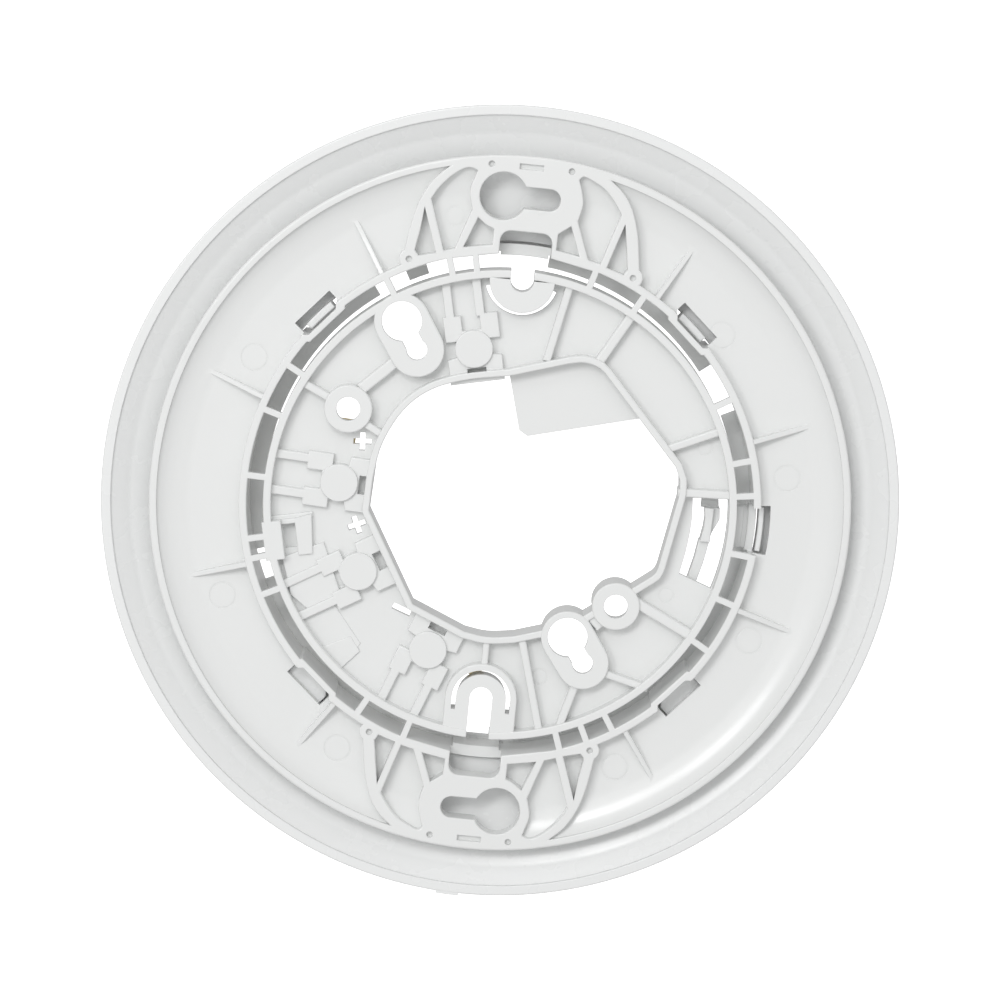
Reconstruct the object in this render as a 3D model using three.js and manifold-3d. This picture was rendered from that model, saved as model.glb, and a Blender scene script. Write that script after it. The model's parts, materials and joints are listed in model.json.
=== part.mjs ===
// Flanged plug-in mounting base of a ceiling smoke detector.
// Millimetres. +Z points out of the rear face, towards the ceiling. The origin is the centre of the
// ceiling plane, which the keyhole pads touch at z = 0. The part hangs below it, to negative z.
// The keyholes for the ceiling screws lie on the Y axis.
import * as THREE from 'three';
import { mergeVertices } from 'three/addons/utils/BufferGeometryUtils.js';
import Module from 'manifold-3d';

const wasm = await Module();
wasm.setup();

// ---------------------------------------------------------------- driving dimensions
const ROUND = 60; // sides of the large circles
const HOLE = 16; // sides of the small holes and bosses

// radii of the body, from the hub outwards
const HUB_RING_IN = 44.4;
const HUB_RING_OUT = 45.9;
const LEDGE_IN = 46.2;
const COLLAR_IN = 49.1;
const COLLAR_OUT = 50.6;
const FLOOR_BEND = 60;
const RIM_IN = 66.4;
const PLATE_OUT = 68;

// heights of the body, below the ceiling plane
const FLOOR_TOP = -3.5;
const FLOOR_BOTTOM = -5.2;
const RIB_TOP = -0.8;
const SEAT_TOP = -1.8;
const DISC_TOP = -0.9;
const HUB_RING_BOTTOM = -7.5;
const EDGE_WALL_BOTTOM = -8;
const COLLAR_BOTTOM = -15.5;
const LEDGE_TOP = -13.6;
const LEDGE_BOTTOM = -15.1;
const ABOVE = 1; // where cuts start, over the ceiling plane
const BELOW = -17; // where through cuts end, under the collar

// windows of the plate
const WINDOW_ANGLES = [49, 138.5, 228.5, 318.5];
const WINDOW_HALF = 5.2; // half width of a hook window, in degrees
const WINDOW_IN = 49.5;
const WINDOW_OUT = 52.8;
const NOTCH_IN = 47.9; // the collar steps inwards behind each hook
const AXIS_WINDOW_HALF = 4.9;
const AXIS_WINDOW_OUT = 53.4;
const AXIS_WINDOW_CUT = -5; // how deep the collar is cut down there

// keyholes for an electrical box, outer pair
const KEYHOLE_Y = 59.9;
const KEYHOLE_BIG = { x: -5, r: 4.5 };
const KEYHOLE_SLOT = { x: 3.7, r: 2.1 };

// keyholes and bosses of the hub
const INNER_KEYHOLES = [
  { big: [-22.3, 34], small: [-18.9, 28.8], pad: 5.4 },
  { big: [15.6, -24.3], small: [19, -29.1], pad: 5.2 },
];
const INNER_BIG_R = 3.85;
const INNER_SMALL_R = 2;
const BOSSES = [[-31, 16.1], [24.3, -17.3]];
const BOSS_R = 4.65;
const BOSS_HOLE_R = 2.3;

// terminals: polar place of each screw, and which way round the hub its contact leaf runs
const TERMINALS = [
  { angle: 105.9, radius: 31.7, turn: -1 },
  { angle: 177.3, radius: 31.5, turn: -1 },
  { angle: 210.6, radius: 30.4, turn: 1 },
  { angle: 249.2, radius: 31.6, turn: 1 },
];
const SCREW_R = 1.55;
const SCREW_HOLE_R = 1.95;
const SCREW_HEAD_R = 3.1;
const SCREW_TIP = -2.3;
const SCREW_HOLE_TOP = -2;
const GAP = 0.3; // between pieces that touch on the real part

// trim ring
const RING_OUT = 77.5;
const RING_STEP = 75.5;
const RING_IN = 51;
const RING_RIM = -2;
const HOOK_IN = 49.9;
const HOOK_OUT = 51.4;
const HOOK_HALF = 3.9; // half width of a hook, in degrees
const HOOK_TOP = -4.2;

// ---------------------------------------------------------------- outlines
const deg = THREE.MathUtils.degToRad;

function point(x, y) {
  return new THREE.Vector2(x, y);
}

function polar(radius, angle) {
  return point(radius * Math.cos(deg(angle)), radius * Math.sin(deg(angle)));
}

function arc(x, y, r, from, to, steps) {
  const points = [];
  for (let i = 0; i <= steps; i += 1) {
    const p = polar(r, from + ((to - from) * i) / steps);
    points.push(point(x + p.x, y + p.y));
  }
  return points;
}

function circle(x, y, r, sides = HOLE) {
  return arc(x, y, r, 0, 360 - 360 / sides, sides - 1);
}

function rectangle(x0, y0, x1, y1) {
  return [point(x0, y0), point(x1, y0), point(x1, y1), point(x0, y1)];
}

function outline(pairs) {
  return pairs.map(([x, y]) => point(x, y));
}

// outline round two circles, with their outer tangents
function capsule([x0, y0], r0, [x1, y1], r1, steps = 8) {
  const along = THREE.MathUtils.radToDeg(Math.atan2(y1 - y0, x1 - x0));
  const spread = THREE.MathUtils.radToDeg(Math.acos((r0 - r1) / Math.hypot(x1 - x0, y1 - y0)));
  return [
    ...arc(x0, y0, r0, along + spread, along + 360 - spread, steps),
    ...arc(x1, y1, r1, along - spread, along + spread, steps),
  ];
}

// the points of an open path moved sideways, with mitred corners
function sideways(path, distance) {
  return path.map((p, i) => {
    const before = path[Math.max(i - 1, 0)];
    const after = path[Math.min(i + 1, path.length - 1)];
    const a = p.clone().sub(before).normalize();
    const b = after.clone().sub(p).normalize();
    const run = a.clone().add(b).normalize();
    const facing = a.lengthSq() > 0 ? a : b;
    const mitre = distance / Math.max(run.dot(facing), 0.5);
    return point(p.x - run.y * mitre, p.y + run.x * mitre);
  });
}

function strip(path, width) {
  return [...sideways(path, -width / 2), ...sideways(path, width / 2).reverse()];
}

// a closed outline that runs anticlockwise, grown outwards
function grown(points, distance) {
  const count = points.length;
  return points.map((p, i) => {
    const a = p.clone().sub(points[(i + count - 1) % count]).normalize();
    const b = points[(i + 1) % count].clone().sub(p).normalize();
    const run = a.clone().add(b).normalize();
    const mitre = distance / Math.max(run.dot(a), 0.5);
    return point(p.x + run.y * mitre, p.y - run.x * mitre);
  });
}

function moved(points, x, y, angle) {
  const turned = points.map((p) => p.clone().rotateAround(point(0, 0), deg(angle)));
  return turned.map((p) => point(p.x + x, p.y + y));
}

// ---------------------------------------------------------------- solids
function signedVolume(position, index) {
  const a = new THREE.Vector3();
  const b = new THREE.Vector3();
  const c = new THREE.Vector3();
  let sum = 0;
  for (let i = 0; i < index.length; i += 3) {
    a.fromBufferAttribute(position, index[i]);
    b.fromBufferAttribute(position, index[i + 1]);
    c.fromBufferAttribute(position, index[i + 2]);
    sum += a.dot(b.cross(c));
  }
  return sum;
}

function solid(geometry) {
  geometry.deleteAttribute('normal');
  geometry.deleteAttribute('uv');
  const welded = mergeVertices(geometry);
  const index = [];
  for (let i = 0; i < welded.index.count; i += 3) {
    const [a, b, c] = [0, 1, 2].map((k) => welded.index.getX(i + k));
    if (a !== b && b !== c && c !== a) index.push(a, b, c);
  }
  if (signedVolume(welded.attributes.position, index) < 0) index.reverse();
  return new wasm.Manifold(
    new wasm.Mesh({
      numProp: 3,
      vertProperties: Float32Array.from(welded.attributes.position.array),
      triVerts: Uint32Array.from(index),
    }),
  );
}

function prism(points, bottom, top, holes = []) {
  const shape = new THREE.Shape(points);
  shape.holes = holes.map((hole) => new THREE.Path(hole));
  const geometry = new THREE.ExtrudeGeometry(shape, { depth: top - bottom, bevelEnabled: false });
  return solid(geometry.translate(0, 0, bottom));
}

function disc(x, y, r, bottom, top, sides = HOLE) {
  return prism(circle(x, y, r, sides), bottom, top);
}

function tube(inner, outer, bottom, top) {
  return prism(circle(0, 0, outer, ROUND), bottom, top, [circle(0, 0, inner, ROUND)]);
}

function sector(inner, outer, from, to, bottom, top) {
  const steps = Math.max(1, Math.round((to - from) / (360 / ROUND)));
  const points = [...arc(0, 0, outer, from, to, steps), ...arc(0, 0, inner, to, from, steps)];
  return prism(points, bottom, top);
}

// a turned ring: the profile is radius and height, and closes on itself
function turned(profile) {
  const closed = outline([...profile, profile[0]]);
  return solid(new THREE.LatheGeometry(closed, ROUND).rotateX(Math.PI / 2));
}

function joined(solids) {
  return solids.reduce((whole, piece) => whole.add(piece));
}

function cut(body, tools) {
  return tools.reduce((rest, tool) => rest.subtract(tool), body);
}

// ---------------------------------------------------------------- base body: plate and collar
const PLATE_IN = COLLAR_IN + 0.4;
const PLATE_UNDERSIDE = [[PLATE_IN, FLOOR_BOTTOM], [FLOOR_BEND, FLOOR_BOTTOM], [64.6, -4.2], [PLATE_OUT, -2]];

function plate() {
  return turned([
    ...PLATE_UNDERSIDE,
    [PLATE_OUT, 0],
    [RIM_IN, 0],
    [64, -2.3],
    [FLOOR_BEND, FLOOR_TOP],
    [PLATE_IN, FLOOR_TOP],
  ]);
}

// the pads and ribs stay inside the plate's own outline
function plateEnvelope() {
  return turned([...PLATE_UNDERSIDE, [PLATE_OUT, 0], [45, 0], [45, FLOOR_BOTTOM]]);
}

function collar() {
  const wall = tube(COLLAR_IN, COLLAR_OUT, COLLAR_BOTTOM, 0);
  const ledges = [[38, 84], [113, 118], [126, 196], [205, 386]].map(([from, to]) =>
    sector(LEDGE_IN, COLLAR_IN + 0.2, from, to, LEDGE_BOTTOM, LEDGE_TOP),
  );
  return joined([wall, ...ledges]);
}

// where a hook of the trim ring stands, the collar steps inwards over its whole height
function hookNotches() {
  return WINDOW_ANGLES.map((angle) => {
    const from = angle - WINDOW_HALF;
    const to = angle + WINDOW_HALF;
    return {
      step: sector(NOTCH_IN, WINDOW_IN, from - 1.2, to + 1.2, COLLAR_BOTTOM, 0),
      room: sector(WINDOW_IN, WINDOW_OUT, from, to, BELOW, ABOVE),
    };
  });
}

function gusset(angle) {
  const width = 0.9;
  const side = new THREE.Shape(outline([[COLLAR_OUT - 0.4, -0.4], [63.4, FLOOR_TOP - 0.3],
    [COLLAR_OUT - 0.4, FLOOR_TOP - 0.3]]));
  const geometry = new THREE.ExtrudeGeometry(side, { depth: width, bevelEnabled: false });
  geometry.rotateX(Math.PI / 2).translate(0, width / 2, 0).rotateZ(deg(angle));
  return solid(geometry);
}

function spokes() {
  const angles = [8, 16, 30.6, 61.4, 73.6, 101.1, 107, 121.9, 151.6, 162.9, 178.4, 192.9, 197.5,
    206.1, 241.2, 253, 289.2, 295.6, 302, 330.5, 342.4, 354];
  const bar = rectangle(HUB_RING_OUT - 0.4, -0.6, COLLAR_IN + 0.4, 0.6);
  return angles.map((angle) => prism(moved(bar, 0, 0, angle), -1.6, 0));
}

// the pad round one outer keyhole, its curved side ribs and the ribs to the collar
function keyholePad(turn) {
  const side = [[6.6, 53.5], [9.2, 55.3], [10.2, 59.5], [10, 63.2], [11.6, 66.2]];
  const mirrored = side.map(([x, y]) => [-x, y]).reverse();
  const pieces = [prism(moved(outline([...side, ...mirrored]), 0, 0, turn), FLOOR_BOTTOM, 0)];
  for (const s of [-1, 1]) {
    const wishbone = outline([[22, 45.9], [21.4, 51], [19.6, 57], [16.2, 61.8], [11, 66]]);
    const long = outline([[15.3, 47.6], [18.9, 57.6]]);
    const short = outline([[12, 48.6], [9, 55]]);
    const ribs = [strip(wishbone, 2.6), strip(long, 1.4), strip(short, 1.3)];
    for (const rib of ribs) {
      const half = rib.map((p) => point(p.x * s, p.y));
      pieces.push(prism(moved(s > 0 ? half : half.reverse(), 0, 0, turn), FLOOR_BOTTOM, -0.2));
    }
    const [foot] = moved([point(s * 22, 45.9)], 0, 0, turn);
    pieces.push(disc(foot.x, foot.y, 1.9, FLOOR_BOTTOM, 0));
  }
  return joined(pieces).intersect(plateEnvelope());
}

function keyholePadCuts(turn) {
  const keyhole = [
    circle(KEYHOLE_BIG.x, KEYHOLE_Y, KEYHOLE_BIG.r, 28),
    rectangle(KEYHOLE_BIG.x, KEYHOLE_Y - KEYHOLE_SLOT.r, KEYHOLE_SLOT.x, KEYHOLE_Y + KEYHOLE_SLOT.r),
    circle(KEYHOLE_SLOT.x, KEYHOLE_Y, KEYHOLE_SLOT.r),
  ];
  const through = keyhole.map((points) => prism(moved(points, 0, 0, turn), BELOW, ABOVE));
  const recess = prism(moved(rectangle(-2.4, 65.5, 2.4, 66.5), 0, 0, turn), -0.8, ABOVE);
  const dimples = [[-7.8, 65.6], [7.8, 65.6], [-22, 45.9], [22, 45.9]].map(([x, y]) =>
    prism(moved(circle(x, y, 0.7, 8), 0, 0, turn), -1, ABOVE),
  );
  const mouth = prism(moved(axisWindow(46.5), 0, 0, turn), AXIS_WINDOW_CUT, ABOVE);
  const behind = prism(moved(axisWindow(COLLAR_OUT), 0, 0, turn), BELOW, ABOVE);
  return [...through, recess, ...dimples, mouth, behind];
}

// the window between a keyhole pad and the collar, from the given distance outwards
function axisWindow(near) {
  const half = AXIS_WINDOW_HALF;
  const side = [[half, near], [half, 51], [half - 0.7, 52.7], [half - 2.2, AXIS_WINDOW_OUT]];
  const mirrored = side.map(([x, y]) => [-x, y]).reverse();
  return outline([...side, ...mirrored]);
}

// ---------------------------------------------------------------- base body: hub
// edge of the central wire opening, anticlockwise from its upper right corner
function openingOutline() {
  const keyhole = INNER_KEYHOLES[1];
  const boss = BOSSES[1];
  return [
    ...outline([[33, 11], [17.6, 27.8], [15, 29.2], [12, 29.3], [8, 28.3], [-0.5, 25.5], [-8, 24.1]]),
    ...outline([[-13, 22.5], [-16.5, 20.6], [-19.5, 17.9], [-22, 14.2], [-24.1, 9], [-25, 3]]),
    ...outline([[-25.2, -3.2], [-15, -20.7], [-4.5, -25.1], [0, -25.7], [5, -25.1]]),
    ...arc(...keyhole.big, keyhole.pad, 170, 60, 6),
    ...arc(...boss, BOSS_R, 196, 54, 6),
    ...outline([[30.6, -10.9], [31.7, -9], [34.2, 5], [34.2, 8]]),
  ];
}

function hubRibs() {
  const ribs = [
    [[9.4, 44.4], [6.2, 29], 1.5],
    [[21.8, 39.3], [16.2, 29.6], 1.8],
    [[41.4, 18.8], [31.2, 14.2], 1.5],
    [[45, 6.4], [34, 6], 1.6],
    [[27.6, -16], [40, -22], 2],
    [[22.5, -30.6], [32.2, -33], 1.4],
    [[18.2, -33], [15.4, -43], 1.5],
    [[6.8, -25.6], [12, -43.6], 1.5],
    [[0, -25.8], [0, -33], 1.3],
    [[-29, 20], [-22.6, 26.2], 2.2],
    [[-40.6, 20.4], [-34.4, 17.6], 1.5],
    [[-27.4, 13.4], [-24.4, 11.8], 1.4],
    [[20, -21.4], [22, -19.4], 3.4],
  ];
  return ribs.map(([from, to, width]) => prism(strip(outline([from, to]), width), FLOOR_BOTTOM, RIB_TOP));
}

// raised seat behind one terminal, with the rails that run out to the hub ring
function terminalSeat({ angle, radius }) {
  const { x, y } = polar(radius, angle);
  const reach = HUB_RING_IN - radius + 0.2;
  const at = (points, top) => prism(moved(points, x, y, angle), FLOOR_BOTTOM, top);
  return joined([
    at(rectangle(-5.4, -4.2, 3.4, 4.2), SEAT_TOP),
    at(rectangle(3, 2.2, 6.4, 4.9), SEAT_TOP),
    at(rectangle(3, -4.9, 6.4, -2.2), SEAT_TOP),
    at(rectangle(6, 2.8, reach, 4.2), SEAT_TOP),
    at(rectangle(6, -4.2, reach, -2.8), SEAT_TOP),
    at(circle(0, 0, 3.6, 28), DISC_TOP),
  ]);
}

function terminalCuts({ angle, radius }) {
  const { x, y } = polar(radius, angle);
  const slot = prism(moved(rectangle(-5, -1.5, -3.7, 1.5), x, y, angle), -4.4, ABOVE);
  const hole = disc(x, y, SCREW_HOLE_R, BELOW, SCREW_HOLE_TOP);
  return [slot, hole];
}

function cross(x, y, angle, size, arm) {
  const bar = rectangle(-size / 2, -arm / 2, size / 2, arm / 2);
  return [0, 90].map((turn) => prism(moved(bar, x, y, angle + turn), BELOW, ABOVE));
}

function hub() {
  const ring = tube(HUB_RING_IN, HUB_RING_OUT, HUB_RING_BOTTOM, 0);
  const opening = openingOutline();
  const floor = prism(circle(0, 0, HUB_RING_IN + 0.4, ROUND), FLOOR_BOTTOM, FLOOR_TOP, [opening]);
  const edge = prism(grown(opening, 1.3), EDGE_WALL_BOTTOM, -0.3, [opening]);
  const pads = INNER_KEYHOLES.map(({ big, small, pad }) =>
    prism(capsule(big, pad, small, pad - 0.1), FLOOR_BOTTOM, 0),
  );
  const bosses = BOSSES.map(([x, y]) => disc(x, y, BOSS_R, FLOOR_BOTTOM, 0, 28));
  const upperPad = prism(arc(0, 44.1, 6.3, 180, 360, 14), FLOOR_BOTTOM, 0);
  const lowerPad = prism([...arc(0, -38.1, 7, 0, 180, 14), point(-7, -44.8), point(7, -44.8)], FLOOR_BOTTOM, -0.2);
  const clipBox = prism(
    outline([[-44.6, -7.2], [-42, -6.7], [-36.3, -4.9], [-35, -12.4], [-40.4, -13.9], [-42.6, -14.6]].reverse()),
    FLOOR_BOTTOM,
    SEAT_TOP,
  );
  const tab = prism(
    outline([[-0.8, 26], [2.3, 14.7], [4, 13.7], [25.6, 19.3], [22, 25], [14, 29.8], [6, 28.4]]),
    FLOOR_BOTTOM,
    -4.2,
  );
  return joined([ring, floor, edge, ...pads, ...bosses, upperPad, lowerPad, clipBox, tab,
    ...hubRibs(), ...TERMINALS.map(terminalSeat)]);
}

function latchWindow() {
  const side = arc(0, 0, HUB_RING_IN - 0.1, 344.2, 367, 8);
  return prism([...side, point(36.9, 5.1), point(36.9, 0), point(35.7, -9.2)], BELOW, ABOVE);
}

function hubCuts() {
  const inner = INNER_KEYHOLES.flatMap(({ big, small }) => [
    disc(...big, INNER_BIG_R, BELOW, ABOVE, 28),
    disc(...small, INNER_SMALL_R, BELOW, ABOVE),
    prism(strip(outline([big, small]), 3.4), BELOW, ABOVE),
  ]);
  const holes = BOSSES.map(([x, y]) => disc(x, y, BOSS_HOLE_R, BELOW, ABOVE));
  const upperSlot = prism([...arc(0, 44.1, 2.25, 180, 360, 10), point(2.25, 47), point(-2.25, 47)], BELOW, ABOVE);
  const upperSlit = prism([...arc(0, 44.1, 7.1, 196, 344, 14), ...arc(0, 44.1, 6.3, 344, 196, 14)], BELOW, ABOVE);
  const lowerSlot = prism([...arc(0, -37.9, 2.2, 0, 180, 10), point(-2.2, -47), point(2.2, -47)], BELOW, ABOVE);
  const lowerSlit = prism(
    [point(5.7, -40.5), ...arc(0, -38.1, 5.7, 0, 180, 14), point(-5.7, -40.5), point(-4.9, -40.5),
      ...arc(0, -38.1, 4.9, 180, 0, 14), point(4.9, -40.5)],
    BELOW,
    ABOVE,
  );
  const clipSlot = prism(moved(rectangle(-1.1, -2.3, 1.1, 2.3), -40.2, -9.6, 12), -4.4, ABOVE);
  const polarity = [
    ...cross(-27.6, 10.1, 2, 3.6, 1),
    ...cross(-27.1, -6.4, -30, 3.6, 1),
    prism(moved(rectangle(-1.9, -0.6, 1.9, 0.6), -17.1, -22.1, -20), BELOW, ABOVE),
  ];
  return [...inner, ...holes, upperSlot, upperSlit, lowerSlot, lowerSlit, clipSlot, ...polarity,
    latchWindow(), ...TERMINALS.flatMap(terminalCuts)];
}

function baseBody() {
  const notches = hookNotches();
  const gussets = [19.9, 58.8, 122.3, 160.6, 198.6, 235.8, 304.4, 341.7].map(gusset);
  const outer = joined([plate(), collar(), keyholePad(0), keyholePad(180), ...gussets]);
  const lockWindow = sector(COLLAR_OUT, 52.6, 354.6, 365.2, BELOW, ABOVE);
  const lockMouth = sector(COLLAR_IN - 0.5, COLLAR_OUT + 0.5, 354.6, 365.2, AXIS_WINDOW_CUT, ABOVE);
  const bored = cut(outer, [...notches.map((notch) => notch.room), lockWindow, lockMouth,
    ...keyholePadCuts(0), ...keyholePadCuts(180)]);
  const inner = cut(hub(), hubCuts());
  return joined([bored, inner, ...notches.map((notch) => notch.step), ...spokes()]);
}

// ---------------------------------------------------------------- trim ring
function trimRing() {
  const shell = turned([
    [RING_IN, -9.6],
    [61, -9.3],
    [67, -8.2],
    [72, -6.6],
    [75.6, -4.6],
    [RING_OUT, -2.9],
    [RING_OUT, RING_RIM],
    [RING_STEP, RING_RIM],
    [RING_STEP, RING_RIM - 0.6],
    [72, -4.6],
    [67, -6.3],
    [61, -7.3],
    [RING_IN, -7.6],
  ]);
  const hooks = WINDOW_ANGLES.map((angle) =>
    sector(HOOK_IN, HOOK_OUT, angle - HOOK_HALF, angle + HOOK_HALF, -9.6, HOOK_TOP),
  );
  const lug = sector(RING_OUT - 0.5, RING_OUT + 0.5, 266.2, 269.5, RING_RIM - 0.9, RING_RIM - 0.1);
  return joined([shell, ...hooks, lug]);
}

// ---------------------------------------------------------------- tamper arm
function tamperArm() {
  const path = outline([[38, -9.8], [38.7, -5], [39.4, 0], [39.8, 4.2]]);
  const arm = prism(strip(path, 1.8), -9.5, -3);
  const head = prism(outline([[38.9, 2.8], [42.2, 3], [42, 4.4], [38.8, 4.6]]), -10.5, -2.2);
  return arm.add(head);
}

// ---------------------------------------------------------------- terminals, about the screw's axis
const PLATE_TOP = FLOOR_BOTTOM - GAP;
const PLATE_BOTTOM = PLATE_TOP - 0.9;
const CLAMP_TOP = PLATE_BOTTOM - GAP;
const CLAMP_BOTTOM = CLAMP_TOP - 1;
const HEAD_TOP = CLAMP_BOTTOM - GAP;
const HEAD_BOTTOM = HEAD_TOP - 2.2;
const TERMINAL_HALF = 4.4;

function terminalPlate() {
  const hole = circle(0, 0, SCREW_HOLE_R);
  return prism(rectangle(-4.2, -TERMINAL_HALF, 4.2, TERMINAL_HALF), PLATE_BOTTOM, PLATE_TOP, [hole]);
}

function wireClamp() {
  const hole = circle(0, 0, SCREW_HOLE_R);
  return prism(rectangle(-3.6, -3.9, 3.6, 3.9), CLAMP_BOTTOM, CLAMP_TOP, [hole]);
}

function terminalScrew() {
  const head = disc(0, 0, SCREW_HEAD_R, HEAD_BOTTOM, HEAD_TOP, 24);
  const shank = disc(0, 0, SCREW_R, HEAD_TOP - 0.2, SCREW_TIP, 12);
  const slot = prism(rectangle(-4, -0.5, 4, 0.5), HEAD_BOTTOM - 1, HEAD_BOTTOM + 1);
  return head.add(shank).subtract(slot);
}

// the springy end of the terminal strip, running along +Y or -Y from the plate
function contactLeaf(turn) {
  const root = TERMINAL_HALF + GAP;
  const middle = outline([[root, -5.95], [root + 1.2, -6.3], [root + 5, -8.6], [root + 5.8, -8.8],
    [root + 7, -8.1]]);
  const side = new THREE.Shape(strip(middle, 0.5));
  const width = 3.8;
  const geometry = new THREE.ExtrudeGeometry(side, { depth: width, bevelEnabled: false });
  geometry.rotateX(Math.PI / 2).rotateZ(Math.PI / 2).translate(-width / 2, 0, 0);
  if (turn < 0) geometry.rotateZ(Math.PI);
  return solid(geometry);
}

// ---------------------------------------------------------------- assembly
function plastic(colour) {
  return new THREE.MeshStandardMaterial({ color: colour, roughness: 0.45, metalness: 0 });
}

function metal(colour) {
  return new THREE.MeshStandardMaterial({ color: colour, roughness: 0.35, metalness: 1 });
}

const group = new THREE.Group();

function addMesh(name, shape, material, angle = 0, radius = 0) {
  const { vertProperties, triVerts } = shape.getMesh();
  const geometry = new THREE.BufferGeometry();
  geometry.setAttribute('position', new THREE.BufferAttribute(vertProperties, 3));
  geometry.setIndex(new THREE.BufferAttribute(triVerts, 1));
  geometry.computeVertexNormals();
  const mesh = new THREE.Mesh(geometry, material);
  mesh.name = name;
  const place = polar(radius, angle);
  mesh.position.set(place.x, place.y, 0);
  mesh.rotation.z = deg(angle);
  group.add(mesh);
}

addMesh('base_body', baseBody(), plastic(0xe9eae9));
addMesh('trim_ring', trimRing(), plastic(0xe6e8e7));
addMesh('tamper_arm', tamperArm(), plastic(0xe4e6e6));
TERMINALS.forEach(({ angle, radius, turn }, i) => {
  const n = i + 1;
  addMesh(`terminal_plate_${n}`, terminalPlate(), metal(0xb9a36c), angle, radius);
  addMesh(`contact_leaf_${n}`, contactLeaf(turn), metal(0xb9a36c), angle, radius);
  addMesh(`wire_clamp_${n}`, wireClamp(), metal(0xb8bbbd), angle, radius);
  addMesh(`terminal_screw_${n}`, terminalScrew(), metal(0xc4c7c9), angle, radius);
});

export default group;
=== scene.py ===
"""Looks of a flanged smoke detector mounting base, seen from its rear (ceiling) side.

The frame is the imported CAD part: +Z towards the ceiling, the ceiling plane at z = 0, the outer keyholes
on the Y axis. Shapes are drawn in millimetres and scaled to metres when they become objects.
"""
import json
import math

import bmesh
import bpy
from mathutils import Matrix, Vector

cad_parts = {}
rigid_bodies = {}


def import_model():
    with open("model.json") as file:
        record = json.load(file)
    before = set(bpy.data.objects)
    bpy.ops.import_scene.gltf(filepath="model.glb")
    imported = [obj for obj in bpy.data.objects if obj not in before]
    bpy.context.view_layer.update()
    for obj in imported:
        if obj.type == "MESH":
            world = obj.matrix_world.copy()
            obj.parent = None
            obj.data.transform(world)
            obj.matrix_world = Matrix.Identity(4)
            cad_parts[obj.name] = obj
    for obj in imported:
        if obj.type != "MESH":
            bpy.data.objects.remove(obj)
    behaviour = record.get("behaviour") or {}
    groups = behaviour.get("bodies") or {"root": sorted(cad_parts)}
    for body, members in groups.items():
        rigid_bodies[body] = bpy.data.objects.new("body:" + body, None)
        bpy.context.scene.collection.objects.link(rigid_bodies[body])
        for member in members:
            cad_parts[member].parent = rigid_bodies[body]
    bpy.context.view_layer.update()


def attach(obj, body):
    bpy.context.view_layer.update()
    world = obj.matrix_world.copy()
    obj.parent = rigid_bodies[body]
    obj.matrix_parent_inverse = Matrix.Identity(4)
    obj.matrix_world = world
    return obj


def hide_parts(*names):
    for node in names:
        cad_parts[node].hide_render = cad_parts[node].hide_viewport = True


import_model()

MM = 0.001

# ---------------------------------------------------------------- driving dimensions, millimetres
HUB_RING_IN, HUB_RING_OUT = 44.4, 45.9
LEDGE_IN = 46.2
COLLAR_IN, COLLAR_OUT = 49.1, 50.6
RIM_IN, PLATE_OUT = 66.5, 68.0
FLOOR_TOP, FLOOR_BOTTOM = -3.5, -5.2
FLOOR_BEND = 60.0
RIB_TOP = -0.8
SEAT_TOP = -1.8
DISC_TOP = -0.9
HUB_RING_BOTTOM, EDGE_WALL_BOTTOM, COLLAR_BOTTOM = -7.5, -8.0, -15.5
LEDGE_TOP, LEDGE_BOTTOM = -13.6, -15.1
BELOW = -17.0  # under everything, for cuts that go right through
ABOVE_FACE = 1.5  # how far a cutting tool stands out of the face that it opens
THIN_WALL = 1.6
SPOKE_THICKNESS, SPOKE_WIDTH = 1.6, 1.24
SPOKE_ANGLES = (8, 16, 30.6, 61.4, 73.6, 101.1, 107, 121.9, 151.6, 162.9, 178.4, 192.9, 197.5,
                206.1, 241.2, 253, 289.2, 295.6, 302, 330.5, 342.4, 354)
GUSSET_ANGLES = (19.9, 58.8, 122.3, 160.6, 198.6, 235.8, 304.4, 341.7)
LEDGE_SPANS = ((38, 84), (113, 118), (126, 197.7), (205, 386))
LOCK_SPAN = (354.6, 365.2)
LOCK_OUT = 52.6
LOW_WALL_SPANS = (LOCK_SPAN, (84.6, 95.4), (264.6, 275.4))

# angle of each window through the collar and plate, and the side of its larger chamfer
WINDOWS = ((48.4, 1), (138.9, -1), (229.0, -1), (318.3, 1))
WINDOW_HALF, WINDOW_CHAMFERS = 4.6, (1.3, 0.7)
WINDOW_IN, WINDOW_OUT = 49.55, 52.9
NOTCH_IN = 48.4
HOOK_ANGLES = (48.4, 138.9)
SHELF_ANGLES = (229.0, 318.3)
AXIS_WINDOW_HALF, AXIS_WINDOW_CUT = 5.0, -5.8

KEYHOLE_Y = 59.9
KEYHOLE_BIG, KEYHOLE_SLOT = (-5.15, 4.6), (3.7, 2.1)
PAD_FEET = ((-22.1, 46.1), (21.1, 46.6))
PAD_DIMPLES = (*PAD_FEET, (-8, 65.8), (7.4, 65.8))
INNER_KEYHOLES = (((-22.3, 34.0), (-18.9, 28.8), 5.4), ((15.6, -24.3), (19.0, -29.1), 5.2))
INNER_BIG_R, INNER_SMALL_R, INNER_NECK = 3.85, 2.0, 1.75
BOSSES = ((-31.0, 16.1), (24.3, -17.3))
BOSS_R, BOSS_HOLE_R = 4.65, 2.3
UPPER_SLOT, LOWER_SLOT, LOWER_SLIT = (0, 44.1), (0, -37.9), (0, -38.1)  # centres of the U slots' round ends

# angle and radius of each terminal's screw, and which way round the hub its leaf runs
TERMINALS = ((105.9, 31.7, -1), (177.3, 31.5, -1), (210.6, 30.4, 1), (249.2, 31.6, 1))
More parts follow.
